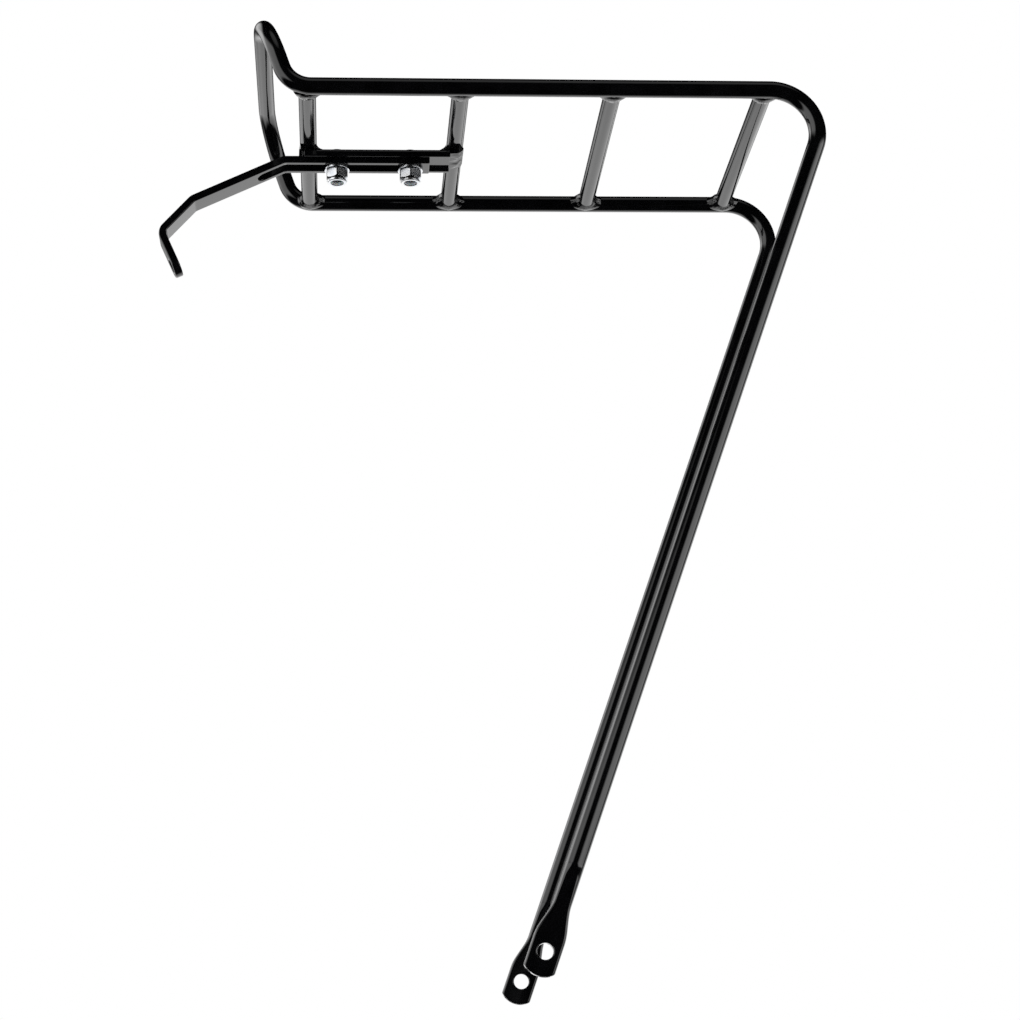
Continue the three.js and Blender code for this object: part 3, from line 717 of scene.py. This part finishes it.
def bent_point(flat, corners, bends):
    """Where a point of the straight bar goes when the bar is bent along its corners."""
    for i, (where, turn, setback) in enumerate(bends):
        fall = STAY_FALLS[i]
        if flat.x < where + setback:
            ahead = Vector((-math.cos(fall), 0, -math.sin(fall)))
            up = Vector((-math.sin(fall), 0, math.cos(fall)))
            if flat.x < where - setback:
                base = corners[i + 1] + ahead * (flat.x - where)
                return base + up * flat.z + ACROSS_RACK * flat.y
            angle = turn * (flat.x - (where - setback)) / (2 * setback)
            centre = corners[i + 1] - ahead * setback - up * STAY_BEND
            reach = STAY_BEND + flat.z
            return centre + reach * (up * math.cos(angle) + ahead * math.sin(angle)) + ACROSS_RACK * flat.y
    fall = STAY_FALLS[-1]
    ahead = Vector((-math.cos(fall), 0, -math.sin(fall)))
    up = Vector((-math.sin(fall), 0, math.cos(fall)))
    return corners[-2] + ahead * (flat.x - bends[-1][0]) + up * flat.z + ACROSS_RACK * flat.y


# ---- Bolts, washers and nuts ----

def turned(name, centre, profile, count=96, reshape=None, closed=False, sharp=SHARP):
    """Turns a profile of (radius, height) points about the vertical. Reshape gives a radius at an angle."""
    rings = []
    for radius, height in profile:
        ring = []
        for angle in circle(count):
            r = reshape(angle, radius, height) if reshape else radius
            ring.append(centre + Vector((r * math.cos(angle), r * math.sin(angle), height)))
        rings.append(ring)
    return solid_of_rings(name, rings, closed, sharp)


def rounded_profile(inner, outer, bottom, top, edge):
    """A ring's section with rounded corners, as (radius, height) points that close on themselves."""
    points = []
    centre_r = (inner + outer) / 2
    centre_z = (bottom + top) / 2
    for u, v, _, _ in rounded_outline(outer - inner, top - bottom, edge, steps=4):
        points.append((centre_r + u, centre_z + v))
    return points


def make_washer(node, name):
    low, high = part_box(node)
    centre = Vector((middle(node).x, 0, 0))
    profile = rounded_profile(WASHER_HOLE_RADIUS, (high.x - low.x) / 2, low.z, high.z, WASHER_EDGE)
    return turned(name, centre, profile, closed=True)


def thread(angle, radius, height):
    """The radius of a thread that winds up round the shank."""
    if abs(radius - BOLT_RADIUS) > 1e-6:
        return radius
    phase = (height / THREAD_PITCH - angle / (2 * math.pi)) % 1
    flank = abs(2 * phase - 1)
    return BOLT_RADIUS - THREAD_DEPTH * min(max(1.3 * flank - 0.15, 0), 1)


def make_bolt(number):
    """A low domed bolt with a six-sided socket and a threaded shank."""
    low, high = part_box(f"bolt_{number}")
    centre = Vector((middle(f"bolt_{number}").x, 0, 0))
    head_radius = (high.x - low.x) / 2
    seat = high.z - BOLT_HEAD_HEIGHT
    tip = BOLT_RADIUS - BOLT_CHAMFER
    profile = [(AXIS_RADIUS, low.z), (tip - 0.2 * MM, low.z), (tip, low.z + 0.15 * MM)]
    threaded = seat - low.z - 2 * BOLT_CHAMFER
    steps = round(threaded / THREAD_PITCH * 10)
    for k in range(steps + 1):
        profile.append((BOLT_RADIUS, low.z + BOLT_CHAMFER + threaded * k / steps))
    profile += [(BOLT_RADIUS - 0.05 * MM, seat - 0.3 * MM), (BOLT_RADIUS + 0.1 * MM, seat)]
    profile += [(head_radius - 0.2 * MM, seat), (head_radius, seat + 0.2 * MM)]
    profile.append((head_radius, seat + 0.6 * MM))
    rim = Vector((head_radius, seat + BOLT_HEAD_RIM))
    shoulder = Vector((head_radius - BOLT_CHAMFER, high.z))
    flat = Vector((BOLT_HEAD_FLAT_RADIUS, high.z))
    for k in range(1, 11):
        point = bezier(rim, shoulder, flat, k / 10)
        profile.append((point.x, point.y))
    profile.append((AXIS_RADIUS, high.z))
    bolt = turned(f"button_bolt_{number}", centre, profile, reshape=thread)
    rings = []
    for depth, grow in [(BOLT_SOCKET_DEPTH, 0), (0.15 * MM, 0), (0, 0.15 * MM), (-1 * MM, 1.15 * MM)]:
        radius = (BOLT_SOCKET_RADIUS + grow) / math.cos(math.pi / 6)
        rings.append([
            centre + Vector((radius * math.cos(angle), radius * math.sin(angle), high.z - depth))
            for angle in circle(6)
        ])
    return cut(bolt, solid_of_rings("cutter", rings))


def hexagon_radius(angle, across_flats, corner=0.18 * MM):
    """How far a hexagon's side is from its middle, with its corners slightly rounded and one facing -Y."""
    from_flat = (angle - math.pi / 2) % (math.pi / 3) - math.pi / 6
    side = across_flats / 2 / math.cos(from_flat)
    tip = across_flats / math.sqrt(3) - corner
    return min(side, tip)


def make_nut(number):
    """A lock nut: a hexagon with its corners turned off, and a rolled collar that holds a nylon ring."""
    node = f"lock_nut_{number}"
    low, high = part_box(node)
    centre = Vector((middle(node).x, 0, 0))
    shoulder = high.z - NUT_HEX_HEIGHT
    corner = NUT_ACROSS_FLATS / math.sqrt(3)
    flat = NUT_ACROSS_FLATS / 2
    profile = [(NUT_HOLE_RADIUS, high.z - 0.5 * MM), (NUT_HOLE_RADIUS + 0.5 * MM, high.z)]
    profile.append((flat - 0.3 * MM, high.z))
    chamfer = NUT_CORNER_CHAMFER
    for k in range(13):
        t = k / 12
        profile.append((lerp(flat - 0.15 * MM, corner, t), high.z - chamfer * t))
    for k in range(1, 8):
        profile.append((corner, lerp(high.z - chamfer, shoulder + chamfer, k / 8)))
    for k in range(13):
        t = k / 12
        profile.append((lerp(corner, flat - 0.15 * MM, t), shoulder + chamfer * (1 - t)))
    profile.append((NUT_COLLAR_RADIUS + 0.25 * MM, shoulder - 0.02 * MM))
    profile.append((NUT_COLLAR_RADIUS, shoulder - 0.25 * MM))
    for k in range(7):
        angle = math.pi / 2 * k / 6
        inwards = NUT_COLLAR_ROLL * (1 - math.cos(angle))
        upwards = NUT_COLLAR_ROLL * (1 - math.sin(angle))
        profile.append((NUT_COLLAR_RADIUS - inwards, low.z + upwards))
    profile.append((NUT_LIP_RADIUS + 0.1 * MM, low.z))
    profile.append((NUT_LIP_RADIUS, low.z + 0.1 * MM))
    profile.append((NUT_LIP_RADIUS, low.z + NUT_LIP))
    profile.append((INSERT_RADIUS + 0.1 * MM, low.z + NUT_LIP))
    profile.append((INSERT_RADIUS + 0.1 * MM, low.z + NUT_POCKET))
    profile.append((NUT_HOLE_RADIUS, low.z + NUT_POCKET))

    def reshape(angle, radius, height):
        if radius <= flat - 0.3 * MM + 1e-9 or height < shoulder:
            return radius
        return min(radius, hexagon_radius(angle, NUT_ACROSS_FLATS))

    sharp = math.radians(18)  # so that the turned-off corners stay crisp
    return turned(f"nut_{number}", centre, profile, count=240, reshape=reshape, closed=True, sharp=sharp)


def make_insert(number):
    node = f"nylon_insert_{number}"
    low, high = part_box(node)
    centre = Vector((middle(node).x, 0, 0))
    profile = rounded_profile(INSERT_HOLE_RADIUS, INSERT_RADIUS, low.z + INSERT_LIFT, high.z, INSERT_EDGE)
    return turned(f"nylon_ring_{number}", centre, profile, closed=True)


# ---- Materials ----

class Nodes:
    """A material's node tree with short ways to add and join nodes."""

    def __init__(self, name):
        self.material = bpy.data.materials.new(name)
        self.material.use_nodes = True
        self.tree = self.material.node_tree
        self.shader = self.tree.nodes["Principled BSDF"]
        coordinates = self.tree.nodes.new("ShaderNodeTexCoord")
        self.place = coordinates.outputs["Object"]

    def join(self, output, target):
        self.tree.links.new(output, target)

    def noise(self, scale, detail, stretch=None):
        node = self.tree.nodes.new("ShaderNodeTexNoise")
        node.inputs["Scale"].default_value = scale
        node.inputs["Detail"].default_value = detail
        place = self.place
        if stretch:
            mapping = self.tree.nodes.new("ShaderNodeMapping")
            mapping.inputs["Scale"].default_value = stretch
            self.join(place, mapping.inputs["Vector"])
            place = mapping.outputs["Vector"]
        self.join(place, node.inputs["Vector"])
        return node.outputs["Fac"]

    def ramp(self, value, stops):
        node = self.tree.nodes.new("ShaderNodeValToRGB")
        elements = node.color_ramp.elements
        for element, (position, colour) in zip(elements, stops):
            element.position = position
            element.color = (*colour, 1)
        for position, colour in stops[len(elements):]:
            elements.new(position).color = (*colour, 1)
        self.join(value, node.inputs["Fac"])
        return node.outputs["Color"]

    def span(self, value, low, high):
        """Spreads a noise from low to high. Noise seldom leaves the range of 0.3 to 0.7."""
        node = self.tree.nodes.new("ShaderNodeMapRange")
        node.inputs["From Min"].default_value = 0.3
        node.inputs["From Max"].default_value = 0.7
        node.inputs["To Min"].default_value = low
        node.inputs["To Max"].default_value = high
        self.join(value, node.inputs["Value"])
        return node.outputs["Result"]

    def bump(self, height, strength, distance, before=None):
        node = self.tree.nodes.new("ShaderNodeBump")
        node.inputs["Strength"].default_value = strength
        node.inputs["Distance"].default_value = distance
        self.join(height, node.inputs["Height"])
        if before:
            self.join(before, node.inputs["Normal"])
        return node.outputs["Normal"]

    def set(self, **values):
        for name, value in values.items():
            self.shader.inputs[name.replace("_", " ")].default_value = value


def black_paint():
    """Gloss black powder coat with a very faint orange peel."""
    m = Nodes("gloss_black_paint")
    tone = m.ramp(m.noise(90, 3), [(0.35, (0.0015, 0.0015, 0.0018)), (0.70, (0.0036, 0.0036, 0.0042))])
    m.join(tone, m.shader.inputs["Base Color"])
    m.join(m.span(m.noise(140, 4), 0.055, 0.10), m.shader.inputs["Roughness"])
    peel = m.bump(m.noise(330, 1), 0.12, 0.06 * MM)
    m.join(m.bump(m.noise(60, 1), 0.12, 0.12 * MM, peel), m.shader.inputs["Normal"])
    m.set(IOR=1.52)
    return m.material


def bright_zinc():
    """Bright zinc plate: a cold white metal with faint clouds and fine tool marks."""
    m = Nodes("bright_zinc")
    clouds = [(0.3, (0.50, 0.52, 0.55)), (0.55, (0.62, 0.63, 0.65)), (0.75, (0.68, 0.67, 0.65))]
    tone = m.ramp(m.noise(300, 2), clouds)
    m.join(tone, m.shader.inputs["Base Color"])
    m.join(m.span(m.noise(300, 2), 0.22, 0.30), m.shader.inputs["Roughness"])
    marks = m.noise(300, 1, stretch=(1, 1, 5))
    m.join(m.bump(marks, 0.02, 0.01 * MM), m.shader.inputs["Normal"])
    m.set(Metallic=1.0)
    return m.material


def natural_nylon():
    """Milky nylon that lets a little light into it."""
    m = Nodes("natural_nylon")
    tone = m.ramp(m.noise(600, 2), [(0.3, (0.62, 0.66, 0.70)), (0.7, (0.74, 0.77, 0.80))])
    m.join(tone, m.shader.inputs["Base Color"])
    m.join(m.span(m.noise(900, 2), 0.38, 0.52), m.shader.inputs["Roughness"])
    m.set(Subsurface_Weight=0.25, Subsurface_Scale=0.6 * MM)
    return m.material


def pale_floor():
    m = Nodes("pale_floor")
    tone = m.ramp(m.noise(3, 3), [(0.3, (0.80, 0.80, 0.80)), (0.7, (0.84, 0.84, 0.84))])
    m.join(tone, m.shader.inputs["Base Color"])
    m.set(Roughness=0.7, Emission_Strength=0.35)
    m.shader.inputs["Emission Color"].default_value = (1, 1, 1, 1)
    return m.material


# ---- Putting the pieces on the frame ----

def weigh_normals(piece):
    """Keeps the flats of a piece looking flat next to its rounded edges."""
    modifier = piece.modifiers.new("normals", "WEIGHTED_NORMAL")
    modifier.mode = "FACE_AREA"
    modifier.weight = 80
    modifier.keep_sharp = True
    bpy.context.view_layer.update()
    evaluated = piece.evaluated_get(bpy.context.evaluated_depsgraph_get())
    mesh = bpy.data.meshes.new_from_object(evaluated)
    piece.modifiers.clear()
    piece.data = mesh


def place_piece(piece, material, slot, body, *nodes):
    weigh_normals(piece)
    piece.data.materials.clear()
    piece.data.materials.append(material)
    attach(piece, body)
    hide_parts(*nodes)


paint = black_paint()
zinc = bright_zinc()
nylon = natural_nylon()

place_piece(make_rod(), paint, "black_coat", "rack_frame", "frame_rod")
for bar_number in (1, 2, 3, 4):
    bar = make_crossbar(bar_number)
    place_piece(bar, paint, "black_coat", "rack_frame", f"crossbar_{bar_number}")
    for rail_side, side_name in ((-1, "right"), (1, "left")):
        bead = make_rail_weld(bar_number, rail_side)
        place_piece(bead, paint, "black_coat", "rack_frame", f"weld_{bar_number}_{side_name}")

place_piece(make_channel(), paint, "black_coat", "rack_frame", "stay_channel")
for weld_node, bar_number, direction, reach in [
    ("channel_weld_1_rear", 1, -1, 4.4 * MM),
    ("channel_weld_1_front", 1, 1, 7.4 * MM),
    ("channel_weld_2_rear", 2, -1, 8.6 * MM),
]:
    bead = make_channel_bead(weld_node, bar_number, direction, reach)
    place_piece(bead, paint, "black_coat", "rack_frame", weld_node)
place_piece(make_end_bead(), paint, "black_coat", "rack_frame", "channel_weld_2_front")
place_piece(make_stay(), paint, "black_coat", "stay", "stay")

for number in (1, 2):
    place_piece(make_bolt(number), zinc, "zinc", "rack_frame", f"bolt_{number}")
    flat_washer = make_washer(f"washer_{number}", f"flat_washer_{number}")
    place_piece(flat_washer, zinc, "zinc", "rack_frame", f"washer_{number}")
    place_piece(make_nut(number), zinc, "zinc", "rack_frame", f"lock_nut_{number}")
    place_piece(make_insert(number), nylon, "nylon", "rack_frame", f"nylon_insert_{number}")


# ---- Floor and light ----

FLOOR_Z = -0.62


def make_floor():
    mesh = bpy.data.meshes.new("floor")
    half = 40.0
    corners = [(-half, -half, FLOOR_Z), (half, -half, FLOOR_Z), (half, half, FLOOR_Z), (-half, half, FLOOR_Z)]
    mesh.from_pydata(corners, [], [(0, 1, 2, 3)])
    floor = bpy.data.objects.new("floor", mesh)
    bpy.context.scene.collection.objects.link(floor)
    floor.data.materials.append(pale_floor())
    floor.visible_glossy = False  # the gloss paint mirrors the studio, not the floor


class Sky:
    """A world whose light comes from soft patches, each bounded by ranges of the direction's X, Y and Z."""

    def __init__(self, name, seen):
        self.world = bpy.data.worlds.new(name)
        self.world.use_nodes = True
        self.tree = self.world.node_tree
        self.tree.nodes.clear()
        self.direction = self.tree.nodes.new("ShaderNodeTexCoord").outputs["Generated"]
        split = self.tree.nodes.new("ShaderNodeSeparateXYZ")
        self.tree.links.new(self.direction, split.inputs["Vector"])
        self.axes = split.outputs
        self.total = None
        self.seen = seen

    def math(self, operation, a, b):
        node = self.tree.nodes.new("ShaderNodeMath")
        node.operation = operation
        for socket, value in zip(node.inputs, (a, b)):
            if isinstance(value, float):
                socket.default_value = value
            else:
                self.tree.links.new(value, socket)
        return node.outputs["Value"]

    def fade(self, value, none, full):
        node = self.tree.nodes.new("ShaderNodeMapRange")
        node.interpolation_type = "SMOOTHSTEP"
        node.inputs["From Min"].default_value = min(none, full)
        node.inputs["From Max"].default_value = max(none, full)
        node.inputs["To Min"].default_value = 0.0 if none < full else 1.0
        node.inputs["To Max"].default_value = 1.0 if none < full else 0.0
        self.tree.links.new(value, node.inputs["Value"])
        return node.outputs["Result"]

    def patch(self, strength, *fades):
        """Adds a patch. Each fade is an axis, and where along it the light is none and full."""
        light = None
        for axis, none, full in fades:
            edge = self.fade(self.axes[axis], none, full)
            light = self.math("MULTIPLY", light, edge) if light else edge
        self.add(strength, light)

    def spot(self, strength, direction, none, full):
        """Adds a round patch in a direction, fading out between two angles in degrees from it."""
        node = self.tree.nodes.new("ShaderNodeVectorMath")
        node.operation = "DOT_PRODUCT"
        node.inputs[1].default_value = Vector(direction).normalized()
        self.tree.links.new(self.direction, node.inputs[0])
        near = self.fade(node.outputs["Value"], math.cos(math.radians(none)), math.cos(math.radians(full)))
        self.add(strength, near)

    def add(self, strength, light):
        scaled = self.math("MULTIPLY", light, strength)
        self.total = self.math("ADD", self.total, scaled) if self.total else scaled

    def finish(self):
        """The camera sees a plain background, and everything else is lit by the patches."""
        plain = self.tree.nodes.new("ShaderNodeBackground")
        plain.inputs["Strength"].default_value = self.seen
        lit = self.tree.nodes.new("ShaderNodeBackground")
        lit.inputs["Color"].default_value = (1, 1, 1, 1)
        plain.inputs["Color"].default_value = (1, 1, 1, 1)
        self.tree.links.new(self.total, lit.inputs["Strength"])
        mix = self.tree.nodes.new("ShaderNodeMixShader")
        ray = self.tree.nodes.new("ShaderNodeLightPath")
        out = self.tree.nodes.new("ShaderNodeOutputWorld")
        self.tree.links.new(ray.outputs["Is Camera Ray"], mix.inputs["Fac"])
        self.tree.links.new(lit.outputs["Background"], mix.inputs[1])
        self.tree.links.new(plain.outputs["Background"], mix.inputs[2])
        self.tree.links.new(mix.outputs["Shader"], out.inputs["Surface"])
        bpy.context.scene.world = self.world


def make_sky():
    """A white studio, with a bright backdrop, a large light on the left, a low one on the right and a faint
    one above."""
    sky = Sky("studio", 1.0)
    sky.patch(1.6, ("X", -0.62, -0.36), ("Y", 0.30, 0.55), ("Z", -0.95, -0.62), ("Z", 0.46, 0.02))
    sky.patch(1.9, ("X", -0.42, -0.66), ("Y", 0.85, 0.35), ("Z", -0.42, -0.22), ("Z", 0.64, 0.46))
    sky.spot(1.6, (-0.59, 0.59, 0.55), 26, 10)
    sky.patch(2.6, ("X", 0.22, 0.62), ("Y", 0.22, 0.0), ("Z", -0.26, -0.12), ("Z", 0.32, 0.16))
    sky.spot(0.45, (0.1, -0.4, 0.92), 24, 8)
    sky.finish()


make_floor()
make_sky()

bpy.context.scene.view_settings.view_transform = "Standard"
